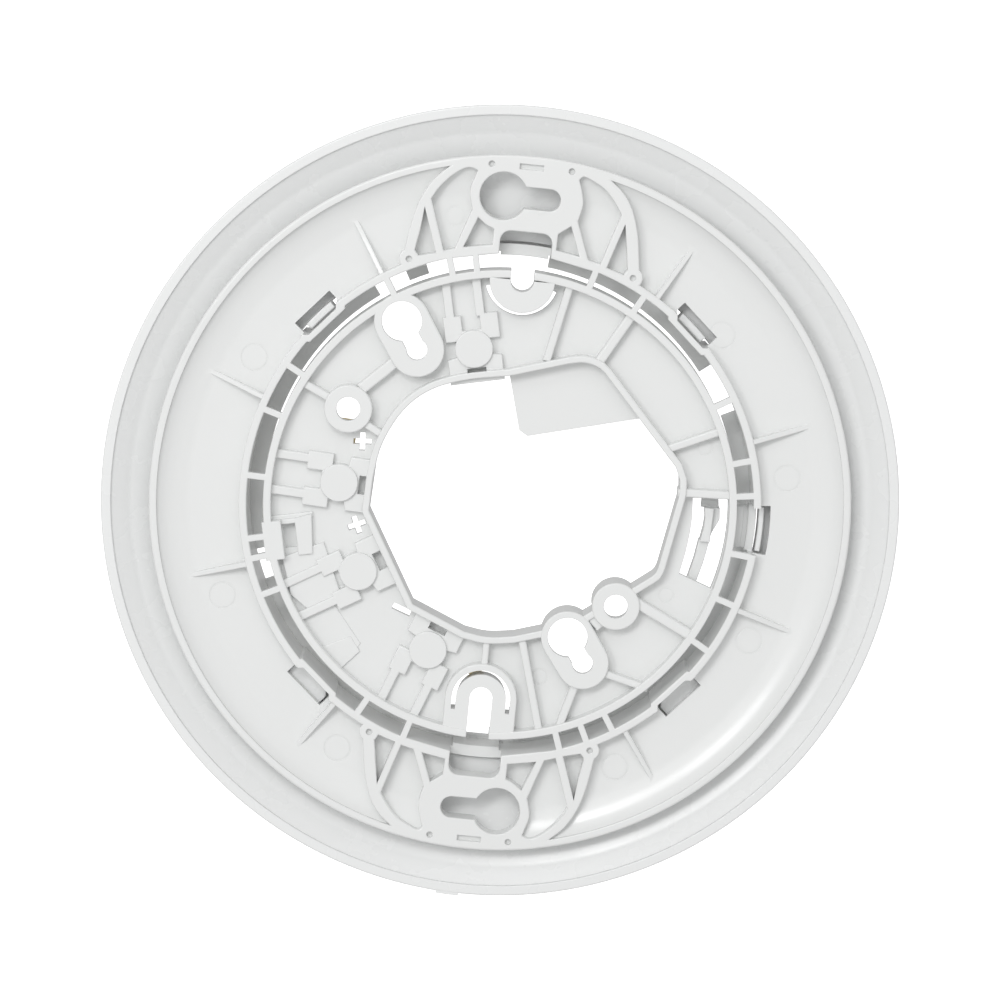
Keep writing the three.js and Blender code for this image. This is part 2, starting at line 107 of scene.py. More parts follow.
# angle, radius and turn of the seat on the ceiling side, and the middles of its two rails
SEATS = (
    (104.9, 30.95, -2.4, (3.9, -2.0)),
    (177.3, 31.5, 0, (3.2, -3.85)),
    (210.6, 30.4, 0, (3.3, -3.7)),
    (249.2, 31.6, 0, (3.25, -3.85)),
)
CLIP = (-40.2, -9.6, 12)  # x, y and turn
PLUS_MARKS, MINUS_MARK = ((-27.75, 9.65, 3), (-27.35, -6.75, 25)), (-17.05, -22.5, -20)
SCREW_R, SCREW_HOLE_R, SCREW_HEAD_R = 1.55, 1.95, 3.1
SCREW_TIP, SCREW_HOLE_TOP = -2.3, -2.0
PLATE_TOP, PLATE_BOTTOM = -5.5, -6.4
CLAMP_TOP, CLAMP_BOTTOM = -6.7, -7.7
HEAD_TOP, HEAD_BOTTOM = -8.0, -10.2
TERMINAL_HALF = 4.4

RING_OUT, RING_STEP, RING_IN, RING_RIM = 77.5, 75.5, 51.0, -2.0
HOOK_IN, HOOK_OUT, HOOK_HALF = 49.9, 51.3, 3.6
HOOK_TOP, HOOK_ROOT, SHELF_TOP, SHELF_ROOT = -4.2, -9.5, -5.6, -9.0
SLEEVE_OUT, SLEEVE_BOTTOM = 52.2, -14.9

# faint round marks on flat faces: x, y, radius, height of the face
EJECTORS = (
    (-50, 24, 2.5, FLOOR_TOP), (-14, 55, 1.8, FLOOR_TOP), (55, 10.5, 2.5, FLOOR_TOP),
    (51, -22, 2.5, FLOOR_TOP), (-52, -23, 2.5, FLOOR_TOP), (-27, -51, 2.5, FLOOR_TOP),
    (27.5, -49.5, 2.5, FLOOR_TOP), (39.5, 37, 2.5, FLOOR_TOP), (34, -14.5, 1.4, FLOOR_TOP),
    (38.5, 15, 1.4, FLOOR_TOP), (11, -33, 1.5, FLOOR_TOP), (2.4, 57.6, 0.7, 0),
)
EJECTOR_LINE, EJECTOR_DEPTH = 0.32, 0.14

SOFT = 0.3  # radius of the moulded edges
CREASE = 38  # degrees: sharper edges are shaded sharp

# ---------------------------------------------------------------- looks and stage, metres
SINK_DEPTH, GRAIN_DEPTH, BRUSH_DEPTH = 0.000016, 0.000004, 0.00002
FLOOR_LEVEL = -0.06  # below the trim ring when it is pulled off
FLOOR_HALF = 3.0
VIEW_WIDTH = 0.1934236  # across the view, at the part
VIEW_DISTANCE = 0.8
VIEW_TILT, VIEW_TURN = 7.9, 5.6  # degrees
AIM_SHIFT = 0.00134  # the camera looks this far past the part's middle
# name, size, watts and place of each softbox
LIGHTS = (
    ("left_box", 0.2, 1.5, (-0.42, 0.23, 0.875)),
    ("high_box", 0.5, 0.7, (-0.12, 0.62, 0.77)),
    ("top_box", 0.2, 1.7, (-0.184, 0.405, 0.895)),
)
SKY = (("From Min", 0.45), ("From Max", 0.85), ("To Min", 0.53), ("To Max", 0.75))


# ---------------------------------------------------------------- outlines
def polar(radius, angle):
    return radius * math.cos(math.radians(angle)), radius * math.sin(math.radians(angle))


def arc(x, y, r, start, end, steps):
    turns = [start + (end - start) * i / steps for i in range(steps + 1)]
    return [(x + polar(r, a)[0], y + polar(r, a)[1]) for a in turns]


def circle(x, y, r, sides=32):
    return arc(x, y, r, 0, 360 - 360 / sides, sides - 1)


def rectangle(x0, y0, x1, y1):
    return [(x0, y0), (x1, y0), (x1, y1), (x0, y1)]


def moved(points, x, y, angle):
    c, s = math.cos(math.radians(angle)), math.sin(math.radians(angle))
    return [(x + c * px - s * py, y + s * px + c * py) for px, py in points]


def capsule(a, ra, b, rb, steps=18):
    """Outline round two circles, with their outer tangents."""
    along = math.degrees(math.atan2(b[1] - a[1], b[0] - a[0]))
    spread = math.degrees(math.acos((ra - rb) / math.dist(a, b)))
    near = arc(*a, ra, along + spread, along + 360 - spread, steps)
    return near + arc(*b, rb, along - spread, along + spread, steps)


def smooth(points, steps=5):
    """A Catmull-Rom curve through the points of an open path."""
    ends = [points[0], *points, points[-1]]
    curve = []
    for i in range(1, len(ends) - 2):
        p0, p1, p2, p3 = (Vector(p) for p in ends[i - 1:i + 3])
        for k in range(steps):
            t = k / steps
            bend = (2 * p0 - 5 * p1 + 4 * p2 - p3) * t * t + (3 * p1 - p0 - 3 * p2 + p3) * t ** 3
            curve.append(tuple((2 * p1 + (p2 - p0) * t + bend) / 2))
    return [*curve, tuple(points[-1])]


def sideways(path, distance):
    moved_path = []
    for i, p in enumerate(path):
        here = Vector(p)
        a = here - Vector(path[max(i - 1, 0)])
        b = Vector(path[min(i + 1, len(path) - 1)]) - here
        a = a.normalized() if a.length else b.normalized()
        b = b.normalized() if b.length else a
        run = (a + b).normalized()
        reach = distance / max(run.dot(a), 0.5)
        moved_path.append((here.x - run.y * reach, here.y + run.x * reach))
    return moved_path


def strip(path, width):
    return sideways(path, -width / 2) + sideways(path, width / 2)[::-1]


def grown(points, distance):
    """A closed anticlockwise outline, moved outwards by distance."""
    count = len(points)
    result = []
    for i, p in enumerate(points):
        here = Vector(p)
        a = (here - Vector(points[i - 1])).normalized()
        b = (Vector(points[(i + 1) % count]) - here).normalized()
        run = (a + b).normalized()
        reach = distance / max(run.dot(a), 0.5)
        result.append((here.x + run.y * reach, here.y - run.x * reach))
    return result


def anticlockwise(points):
    area = sum(a[0] * b[1] - b[0] * a[1] for a, b in zip(points, points[1:] + points[:1]))
    return points if area > 0 else points[::-1]


# ---------------------------------------------------------------- solids
def stacked(loops):
    """A closed mesh from loops of points, one above the other."""
    mesh = bpy.data.meshes.new("solid")
    bm = bmesh.new()
    rows = [[bm.verts.new(p) for p in loop] for loop in loops]
    count = len(rows[0])
    for low, high in zip(rows, rows[1:]):
        for i in range(count):
            k = (i + 1) % count
            bm.faces.new((low[i], low[k], high[k], high[i]))
    bm.faces.new(rows[0][::-1])
    bm.faces.new(rows[-1])
    bmesh.ops.recalc_face_normals(bm, faces=bm.faces)
    bm.to_mesh(mesh)
    bm.free()
    return mesh


def quarter(radius, steps=3):
    """(inward, down) pairs of a quarter round, from the wall to the top face."""
    turns = [math.pi / 2 * i / steps for i in range(steps + 1)]
    return [(radius * (1 - math.cos(t)), radius * (1 - math.sin(t))) for t in turns]


def block(points, bottom, top, soft=SOFT, soft_bottom=0.0):
    """An upright solid with rounded top edges, and rounded bottom edges where asked."""
    points = anticlockwise(points)
    levels = []
    if soft_bottom:
        levels += [(inward, bottom + down) for inward, down in quarter(soft_bottom)][::-1]
    else:
        levels.append((0, bottom))
    levels += [(inward, top - down) for inward, down in quarter(soft)] if soft else [(0, top)]
    return stacked([[(x, y, z) for x, y in grown(points, -inward)] for inward, z in levels])


def hole(points, bottom, face, soft=SOFT):
    """A cutting tool that opens at the face with a rounded lip and ends square at the bottom."""
    points = anticlockwise(points)
    levels = [(0, bottom)]
    levels += [(inward, face - down) for inward, down in quarter(soft)] if soft else []
    levels.append((soft, face + ABOVE_FACE))
    return stacked([[(x, y, z) for x, y in grown(points, out)] for out, z in levels])


def sector(inner, outer, start, end):
    steps = max(2, round((end - start) / 2))
    return arc(0, 0, outer, start, end, steps) + arc(0, 0, inner, end, start, steps)


def sector_about(x, y, inner, outer, start, end):
    return [(x + px, y + py) for px, py in sector(inner, outer, start, end)]


def lathe(profile, sides=192):
    """A ring from a closed profile of radius and height."""
    mesh = bpy.data.meshes.new("ring")
    bm = bmesh.new()
    rows = []
    for i in range(sides):
        a = 2 * math.pi * i / sides
        rows.append([bm.verts.new((r * math.cos(a), r * math.sin(a), z)) for r, z in profile])
    count = len(profile)
    for i, row in enumerate(rows):
        after = rows[(i + 1) % sides]
        for k in range(count):
            n = (k + 1) % count
            bm.faces.new((row[k], after[k], after[n], row[n]))
    bmesh.ops.recalc_face_normals(bm, faces=bm.faces)
    bm.to_mesh(mesh)
    bm.free()
    return mesh


def rounded_profile(corners, steps=4):
    """A closed profile whose corners (r, z, radius) are rounded."""
    profile = []
    count = len(corners)
    for i, (r, z, radius) in enumerate(corners):
        here = Vector((r, z))
        if not radius:
            profile.append((r, z))
            continue
        before = (Vector(corners[i - 1][:2]) - here).normalized()
        after = (Vector(corners[(i + 1) % count][:2]) - here).normalized()
        half = before.angle(after) / 2
        reach = radius / math.tan(half)
        middle = here + (before + after).normalized() * (radius / math.sin(half))
        first, last = here + before * reach - middle, here + after * reach - middle
        turn = first.angle_signed(last)
        for k in range(steps + 1):
            spoke = first.copy()
            spoke.rotate(Matrix.Rotation(-turn * k / steps, 2))
            profile.append(tuple(middle + spoke))
    return profile


def combined(first, others, operation):
    """The first mesh joined with, or cut by, the others."""
    if not others:
        return first
    body = bpy.data.objects.new("body", first)
    bpy.context.scene.collection.objects.link(body)
    tools = bpy.data.collections.new("tools")
    bpy.context.scene.collection.children.link(tools)
    for mesh in others:
        tools.objects.link(bpy.data.objects.new("tool", mesh))
    modifier = body.modifiers.new("combine", "BOOLEAN")
    modifier.operand_type = "COLLECTION"
    modifier.collection = tools
    modifier.operation = operation
    modifier.solver = "MANIFOLD"
    result = bpy.data.meshes.new_from_object(body.evaluated_get(bpy.context.evaluated_depsgraph_get()))
    for tool in list(tools.objects):
        bpy.data.objects.remove(tool)
    bpy.data.collections.remove(tools)
    bpy.data.objects.remove(body)
    return result


def joined(meshes):
    return combined(meshes[0], meshes[1:], "UNION")


def cut(mesh, tools):
    return combined(mesh, tools, "DIFFERENCE")


def piece(name, mesh, material, x=0.0, y=0.0, angle=0.0):
    """A finished object in metres, with sharp edges kept and flat faces shaded flat."""
    turned = Matrix.Translation((x, y, 0)) @ Matrix.Rotation(math.radians(angle), 4, "Z")
    mesh.transform(Matrix.Scale(MM, 4) @ turned)
    mesh.name = name
    obj = bpy.data.objects.new(name, mesh)
    bpy.context.scene.collection.objects.link(obj)
    mesh.materials.clear()
    mesh.materials.append(material)
    mesh.shade_smooth()
    mesh.set_sharp_from_angle(angle=math.radians(CREASE))
    weighted = obj.modifiers.new("weighted normals", "WEIGHTED_NORMAL")
    weighted.keep_sharp = True
    weighted.mode = "FACE_AREA"
    return obj


# ---------------------------------------------------------------- base body: plate and collar
def plate():
    """The flat floor, the slope that steepens towards the rim, and the level rim."""
    near = COLLAR_IN + 0.4
    underside = [(near, FLOOR_BOTTOM), (FLOOR_BEND, FLOOR_BOTTOM), (64.6, -4.1), (66.6, -3.2), (67.6, -2.4)]
    edge = [(PLATE_OUT - inward, -down) for inward, down in quarter(0.5, 4)]
    lip = [(RIM_IN + 0.25, 0), (RIM_IN + 0.07, -0.07), (RIM_IN, -0.25)]
    slope = []
    for t in (0, 0.1, 0.2, 0.3, 0.45, 0.6, 0.8):
        rise = (1 - t) * (1.5 + 1.1 * (1 - t) ** 3)
        slope.append((RIM_IN - (RIM_IN - FLOOR_BEND) * t, FLOOR_TOP + rise))
    profile = [*underside, *edge, *lip, *slope, (FLOOR_BEND, FLOOR_TOP), (near, FLOOR_TOP)]
    return lathe(profile, 256)


def collar():
    """The ring wall of the detector socket, with the ledges at its foot."""
    wall = lathe(rounded_profile([
        (COLLAR_IN, COLLAR_BOTTOM, 0.4), (COLLAR_OUT, COLLAR_BOTTOM, 0.4),
        (COLLAR_OUT, 0, 0.3), (COLLAR_IN, 0, 0.3)]))
    ledges = [block(sector(LEDGE_IN, COLLAR_IN + 0.2, *span), LEDGE_BOTTOM, LEDGE_TOP, 0.25, 0.25)
              for span in LEDGE_SPANS]
    return [wall, *ledges]


def gusset(angle):
    """A thin web from the collar that slopes down to the plate's floor."""
    width, foot = 0.95, FLOOR_TOP - 0.3
    near, far = COLLAR_OUT - 0.4, 63.6
    outline = [(near, foot), (far, foot), (far - 0.6, FLOOR_TOP + 0.05), (near + 0.6, -0.35), (near, -0.3)]
    loops = []
    for side, shrink in ((-1, 0.16), (-0.7, 0.0), (0.7, 0.0), (1, 0.16)):
        loops.append([(r, side * width / 2, z - (shrink if z > foot else 0)) for r, z in outline])
    mesh = stacked(loops)
    mesh.transform(Matrix.Rotation(math.radians(angle), 4, "Z"))
    return mesh


def spokes():
    """The bars that tie the hub to the collar across the groove."""
    bar = rectangle(HUB_RING_OUT - 0.6, -SPOKE_WIDTH / 2, COLLAR_IN + 0.6, SPOKE_WIDTH / 2)
    return [block(moved(bar, 0, 0, a), -SPOKE_THICKNESS, 0, 0.2, 0.2) for a in SPOKE_ANGLES]


def keyhole_pad(turn):
    """The raised pad, with the wishbone ribs that tie it to the collar, about the +Y side."""
    left = smooth([(-23.4, 46), (-22.8, 50), (-22.1, 54), (-20.9, 58), (-18.7, 61.9), (-15.6, 64.9)])
    right = smooth([(14.6, 65.2), (17.5, 62.8), (19.6, 59.8), (21.1, 55.3), (21.8, 51), (22.4, 46.4)])
    slab = [*left, (-14, 67.6), (14, 67.6), *right, (19, 46), (0, 49.8), (-19, 46)]
    cells = (
        [*smooth([(-10.6, 64.3), (-12, 64.7), (-13.7, 64.1), (-16, 62.2), (-17.8, 60), (-18.9, 58)]),
         (-15.6, 48.3), (-13.5, 49), *smooth([(-10.9, 56.8), (-11.7, 60.2), (-11, 63)])],
        [(-20, 56.3), (-20.4, 52), (-21.1, 48), (-20.6, 46.9), (-17.1, 47.8)],
        [*smooth([(-9.6, 55.3), (-8, 54.1), (-6.4, 53.4)]), (-6.4, 50.4), (-11.9, 49.4)],
        [*smooth([(9, 64.3), (9.8, 65), (11.5, 64.4), (14, 63), (16, 60.9), (17.7, 58.4)]),
         (14.6, 48.6), (12.2, 49.2), *smooth([(9.5, 56.4), (10.1, 59), (10.1, 60.6), (9.6, 62.7)])],
        [(18.6, 56.7), (15.9, 48.1), (19.3, 47), (19.9, 47.9), (19.3, 52)],
        [*smooth([(8.3, 55.3), (6, 53.6)]), (5.9, 50.5), (10.4, 49.7)],
    )
    solid = block(moved(slab, 0, 0, turn), FLOOR_BOTTOM, 0)
    solid = cut(solid, [hole(moved(cell, 0, 0, turn), BELOW, 0) for cell in cells])
    feet = [block(circle(*moved([foot], 0, 0, turn)[0], 1.9), FLOOR_BOTTOM, 0) for foot in PAD_FEET]
    envelope = [(45, FLOOR_BOTTOM), (FLOOR_BEND, FLOOR_BOTTOM), (64.6, -3.9), (67.4, -2.3),
                (67.6, 0.01), (45, 0.01)]
    return combined(joined([solid, *feet]), [lathe(envelope)], "INTERSECT")


def axis_window(near):
    """Outline of the opening between the collar and the pad, round-cornered at its far end."""
    half = AXIS_WINDOW_HALF
    side = [(half, near), (half, 51), *arc(half - 2, 51.4, 2, 0, 90, 6)]
    return side + [(-x, y) for x, y in side[::-1]]


def keyhole_pad_cuts(turn):
    """The keyhole, slot, dimples and axis window of a pad, and the notch in the hub ring beside it."""
    (big_x, big_r), (slot_x, slot_r) = KEYHOLE_BIG, KEYHOLE_SLOT
    neck = math.degrees(math.asin(slot_r / big_r))
    keyhole = arc(big_x, KEYHOLE_Y, big_r, neck, 360 - neck, 40)
    keyhole += arc(slot_x, KEYHOLE_Y, slot_r, -90, 90, 14)
    tools = [hole(moved(keyhole, 0, 0, turn), BELOW, 0, 0.25)]
    tools.append(hole(moved(rectangle(-2.65, 65.3, 2.0, 66.4), 0, 0, turn), -1.0, 0, 0.1))
    for x, y in PAD_DIMPLES:
        tools.append(hole(moved(circle(x, y, 0.62, 20), 0, 0, turn), -1.1, 0, 0.1))
    tools.append(hole(moved(axis_window(46.5), 0, 0, turn), AXIS_WINDOW_CUT, 0))
    tools.append(hole(moved(axis_window(COLLAR_OUT), 0, 0, turn), BELOW, 0, 0))
    side = [(3.3, 46), (3.1, 47.6), (2.3, 48.3), (1, 48.65)]
    arch = side + [(-x, y) for x, y in side[::-1]]
    tools.append(hole(moved(arch, 0, 0, turn), -12, 0, 0))
    return tools


# ---------------------------------------------------------------- base body: hub
def opening_outline():
    """Edge of the central wire opening, anticlockwise from its upper right corner."""
    (big, _, pad), boss = INNER_KEYHOLES[1], BOSSES[1]
    return [
        (33, 11), (17.6, 27.8), *smooth([(16.6, 28.6), (15, 29.2), (13, 29.4), (10.8, 29)], 3),
        *smooth([(-0.5, 25.5), (-8, 24.1), (-13, 22.5), (-16.5, 20.6), (-19.5, 17.9), (-22, 14.2),
                 (-24.1, 9), (-25, 3)], 3),
        (-25.2, -3.2), (-15, -20.7), *smooth([(-4.5, -25.1), (0, -25.7), (5, -25.1)], 5),
        *arc(*big, pad, 170, 60, 14), *arc(*boss, BOSS_R, 196, 54, 16),
        *smooth([(30.2, -11.1), (31.2, -10.2), (31.7, -9)], 3),
        *smooth([(34.2, 5), (34.3, 6.6), (34.1, 8.6)], 3),
    ]


def hub_ribs():
    """Straight ribs on the hub, each given by its two ends and its width."""
    ribs = (
        ((9.4, 44.6), (6.2, 29), 1.5), ((21.8, 39.6), (16.2, 29.6), 1.8),
        ((41.6, 18.9), (31.2, 14.2), 1.5), ((45, 6.4), (34, 6), 1.6),
        ((27.6, -16), (40.2, -22.1), 2), ((22.5, -30.6), (32.2, -33), 1.4),
        ((18.2, -33), (15.4, -43.2), 1.5), ((6.8, -25.6), (12, -43.9), 1.5),
        ((0, -25.8), (0, -33), 1.3), ((-29, 20), (-22.6, 26.2), 2.2),
        ((-40.8, 20.5), (-34.4, 17.6), 1.5), ((-27.4, 13.4), (-24.4, 11.8), 1.4),
        ((20, -21.4), (22, -19.4), 3.4),
    )
    return [block(strip([start, end], width), FLOOR_BOTTOM, RIB_TOP, 0.35) for start, end, width in ribs]


def terminal_seat(angle, radius, turn, rails):
    """The stepped seat of one terminal: x points outwards from the middle of its screw."""
    x, y = polar(radius, angle)
    reach = HUB_RING_IN - radius + 0.3

    def at(points, top=SEAT_TOP, soft=0.25):
        return block(moved(points, x, y, angle + turn), FLOOR_BOTTOM, top, soft)

    parts = [
        at([(-6.6, -5.2), (-1.7, -5.2), (-1.3, -3), (-1.3, 3), (-1.7, 5.3), (-6.6, 5.3)]),
        at(circle(0, 0, 3.65, 48), DISC_TOP, 0.2),
        at(rectangle(-2, -2.6, 3.6, 2.6), SEAT_TOP - 0.03),
    ]
    for middle in rails:
        low, high = (1.8, 5.3) if middle > 0 else (-5.3, -1.8)
        parts.append(at(rectangle(1.7, low, 6.6, high), SEAT_TOP + 0.02))
        parts.append(at(rectangle(6.2, middle - 0.85, reach, middle + 0.85), SEAT_TOP + 0.04))
    return parts


def terminal_slot(angle, radius, turn, _rails):
    """The slot between a terminal's disc and the edge wall."""
    slot = moved(rectangle(-5.5, -1.85, -3.8, 1.75), *polar(radius, angle), angle + turn)
    return hole(slot, -4.6, SEAT_TOP, 0.12)


def screw_bore(angle, radius, _leaf):
    """The blind hole for a terminal screw, from the room side."""
    return stacked([[(x, y, z) for x, y in circle(*polar(radius, angle), SCREW_HOLE_R)]
                    for z in (BELOW, SCREW_HOLE_TOP)])


def wire_guides():
    """The low plates that guide a wire across the hub beside the third terminal."""
    plates = (
        ([(-35.2, -11.4), (-33.4, -10.6), (-29.3, -20), (-34.5, -24.6), (-38.8, -21.6), (-41.2, -14.4)],
         -2.5, 0.25),
        ([(-36.5, -26), (-30.2, -22.7), (-24.4, -29.9), (-27.2, -34.6), (-33.4, -29.8)], -3.2, 0.2),
        ([(-32, -31.3), (-26.5, -28.6), (-24.4, -31.4), (-27.6, -35)], -2.95, 0.2),
    )
    return [block(points, FLOOR_BOTTOM, top, soft) for points, top, soft in plates]


def clip_seat():
    """The open seat for a clip, against the hub ring."""
    parts = (
        (rectangle(-4.95, -4.5, -1.25, 3.1), -0.01),
        ([(1.35, -4.3), (4.1, -4.3), (4.8, 3.5), (1.35, 3)], SEAT_TOP),
        (rectangle(-1.3, 2.05, 1.6, 3), SEAT_TOP - 0.02),
        (rectangle(-4, 2.8, 5, 3.8), -2.7),
    )
    return [block(moved(points, *CLIP), FLOOR_BOTTOM, top, 0.2) for points, top in parts]


def cross(x, y, angle):
    """Tools that cut a plus sign through the hub floor."""
    bar = rectangle(-1.75, -0.525, 1.75, 0.525)
    return [hole(moved(bar, x, y, angle + turn), BELOW, FLOOR_TOP, 0.08) for turn in (0, 90)]


def hub():
    """The inner disc: its ring, floor, edge wall round the wire opening, pads, bosses, ribs and seats."""
    ring = lathe(rounded_profile([
        (HUB_RING_IN, HUB_RING_BOTTOM, 0.3), (HUB_RING_OUT, HUB_RING_BOTTOM, 0.3),
        (HUB_RING_OUT, 0, 0.25), (HUB_RING_IN, 0, 0.25)]))
    opening = opening_outline()
    through = [stacked([[(x, y, z) for x, y in opening] for z in (BELOW, 3)])]
    floor = cut(block(circle(0, 0, HUB_RING_IN + 0.4, 192), FLOOR_BOTTOM, FLOOR_TOP, 0), through)
    opening_tool = [hole(opening, BELOW, -0.2, 0.3)]
    edge = cut(block(grown(opening, 1.35), EDGE_WALL_BOTTOM, -0.2, 0.3, 0.3), opening_tool)
    pads = [block(capsule(big, pad, small, pad - 0.1), FLOOR_BOTTOM, 0) for big, small, pad in INNER_KEYHOLES]
    bosses = [block(circle(x, y, BOSS_R, 48), FLOOR_BOTTOM, 0) for x, y in BOSSES]
    upper_pad = block(arc(*UPPER_SLOT, 6.3, 180, 360, 32), FLOOR_BOTTOM, 0, 0.2)
    lower_pad = block([*arc(*LOWER_SLIT, 7, 0, 180, 32), (-7, -44.8), (7, -44.8)], FLOOR_BOTTOM, -0.2)
    tab = block([(-0.8, 26), (2.3, 14.7), (4, 13.7), (25.6, 19.3), (22, 25), (14, 29.8), (6, 28.4)],
                FLOOR_BOTTOM, -4.2, 0.12)
    seats = [mesh for seat in SEATS for mesh in terminal_seat(*seat)]
    return joined([ring, floor, edge, *pads, *bosses, upper_pad, lower_pad, tab, *clip_seat(), *wire_guides(),
                   *hub_ribs(), *seats])


def latch_window():
    """The opening that the tamper arm stands in."""
    side = arc(0, 0, HUB_RING_IN - 0.1, 343.6, 367, 12)
    outline = [*side, (37.2, 4.9), (37.45, 1), (37.35, -2), (36.9, -6), (36.1, -10.2)]
    return hole(outline, BELOW, FLOOR_TOP, 0.1)


def thin_hole(points, widened=0.8):
    """A hole through a pad that is only THIN_WALL thick round it, hollowed out from the room side."""
    hollow = [[(x, y, z) for x, y in grown(points, widened)] for z in (BELOW, -THIN_WALL)]
    return [hole(points, BELOW, 0, 0.15), stacked(hollow)]


def u_slit(inner, outer, end):
    """Outline of the slit round the lower slot, out to end on its straight sides."""
    x, y = LOWER_SLIT
    return [(outer, end), *arc(x, y, outer, 0, 180, 28), (-outer, end), (-inner, end),
            *arc(x, y, inner, 180, 0, 28), (inner, end)]


def hub_cuts():
    """Everything that is cut out of the hub."""
    tools = []
    for big, small, _ in INNER_KEYHOLES:
        run = math.degrees(math.atan2(small[1] - big[1], small[0] - big[0]))
        neck = math.degrees(math.asin(INNER_NECK / INNER_BIG_R))
        end = math.degrees(math.asin(INNER_NECK / INNER_SMALL_R))
        keyhole = arc(*big, INNER_BIG_R, run + neck, run + 360 - neck, 40)
        keyhole += arc(*small, INNER_SMALL_R, run - 180 + end, run + 180 - end, 24)
        tools += thin_hole(keyhole)
    for x, y in BOSSES:
        tools += thin_hole(circle(x, y, BOSS_HOLE_R, 40), 0.4)
    tools.append(hole([*arc(*UPPER_SLOT, 2.25, 180, 360, 20), (2.25, 47), (-2.25, 47)], BELOW, 0, 0.15))
    slit = arc(*UPPER_SLOT, 7.1, 196, 344, 32) + arc(*UPPER_SLOT, 6.3, 344, 196, 32)
    tools.append(hole(slit, BELOW, FLOOR_TOP, 0))
    tools += thin_hole([*arc(*LOWER_SLOT, 2.2, 0, 180, 20), (-2.2, -47), (2.2, -47)], 0.5)
    tools.append(hole(u_slit(4.9, 5.7, -40.5), BELOW, -0.2, 0))
    hollow = anticlockwise(u_slit(4.7, 5.95, -39.9))
    tools.append(stacked([[(x, y, z) for x, y in hollow] for z in (BELOW, -THIN_WALL)]))
    tools.append(hole(moved(rectangle(-1.1, -2.8, 1.3, 2.05), *CLIP), -4.6, FLOOR_TOP, 0.1))
    for mark in PLUS_MARKS:
        tools += cross(*mark)
    tools.append(hole(moved(rectangle(-1.9, -0.62, 1.9, 0.62), *MINUS_MARK), BELOW, FLOOR_TOP, 0.08))
    tools.append(latch_window())
    tools += [terminal_slot(*seat) for seat in SEATS]
    tools += [screw_bore(*terminal) for terminal in TERMINALS]
    return tools


def ejector_marks():
    """Faint rings left by the ejector pins of the mould."""
    tools = []
    for x, y, radius, face in EJECTORS:
        near, far = radius - EJECTOR_LINE / 2, radius + EJECTOR_LINE / 2
        halves = [sector_about(x, y, near, far, start, start + 180) for start in (0, 180)]
        tools += [hole(half, face - EJECTOR_DEPTH, face, 0) for half in halves]
    return tools


def hook_windows():
    """The cutting tools of the four windows, and the blocks that step the collar inwards there."""
    pockets, collar_steps = [], []
    half, (big, small) = WINDOW_HALF, WINDOW_CHAMFERS
    for angle, side in WINDOWS:
        pocket = [(WINDOW_IN, -half + small), (WINDOW_IN + small, -half), (WINDOW_OUT, -half),
                  (WINDOW_OUT, half), (WINDOW_IN + big, half), (WINDOW_IN, half - big)]
        wall = [(NOTCH_IN, -half - 0.1), (COLLAR_IN + 0.2, -half - 0.9), (COLLAR_OUT - 0.2, -half - 0.9),
                (COLLAR_OUT - 0.2, half + 0.9), (COLLAR_IN + 0.2, half + 0.9), (NOTCH_IN, half + 0.1)]
        pocket = moved([(x, y * side) for x, y in pocket], 0, 0, angle)
        wall = moved([(x, y * side) for x, y in wall], 0, 0, angle)
        pockets.append(hole(pocket, BELOW, 0, 0.12))
        collar_steps.append(block(wall, COLLAR_BOTTOM, 0, 0.25, 0.3))
    return pockets, collar_steps


def base_body():
    """The hub and the plate, joined by the spokes, with the windows for the ring's hooks."""
    outer = joined([plate(), *collar(), keyhole_pad(0), keyhole_pad(180), *map(gusset, GUSSET_ANGLES)])
    pockets, collar_steps = hook_windows()
    lock = hole(sector(COLLAR_OUT - 0.6, LOCK_OUT, *LOCK_SPAN), BELOW, FLOOR_TOP, 0.15)
    lock_mouth = hole(sector(COLLAR_IN - 0.5, COLLAR_OUT + 0.5, *LOCK_SPAN), AXIS_WINDOW_CUT, 0, 0)
    low_walls = [block(sector(NOTCH_IN, COLLAR_IN + 0.3, *span), COLLAR_BOTTOM, AXIS_WINDOW_CUT, 0.2, 0.3)
                 for span in LOW_WALL_SPANS]
    pad_cuts = [*keyhole_pad_cuts(0), *keyhole_pad_cuts(180)]
    outer_cuts = [*ejector_marks(), *pockets, lock, lock_mouth, *pad_cuts]
    bored = cut(joined([outer, *collar_steps]), outer_cuts)
    inner = cut(hub(), [*hub_cuts(), *ejector_marks()])
    lock_shelf = [block(sector(LEDGE_IN, out, 354.9, 364.8), -9, top, 0.2)
                  for out, top in ((48.6, -6.6), (47.5, -5.9))]
    ledge_gap = hole([(-2.3, -47.6), (2.3, -47.6), (2.3, -44), (-2.3, -44)], BELOW, -8, 0)
    return cut(joined([bored, inner, *low_walls, *lock_shelf, *spokes()]), [ledge_gap])


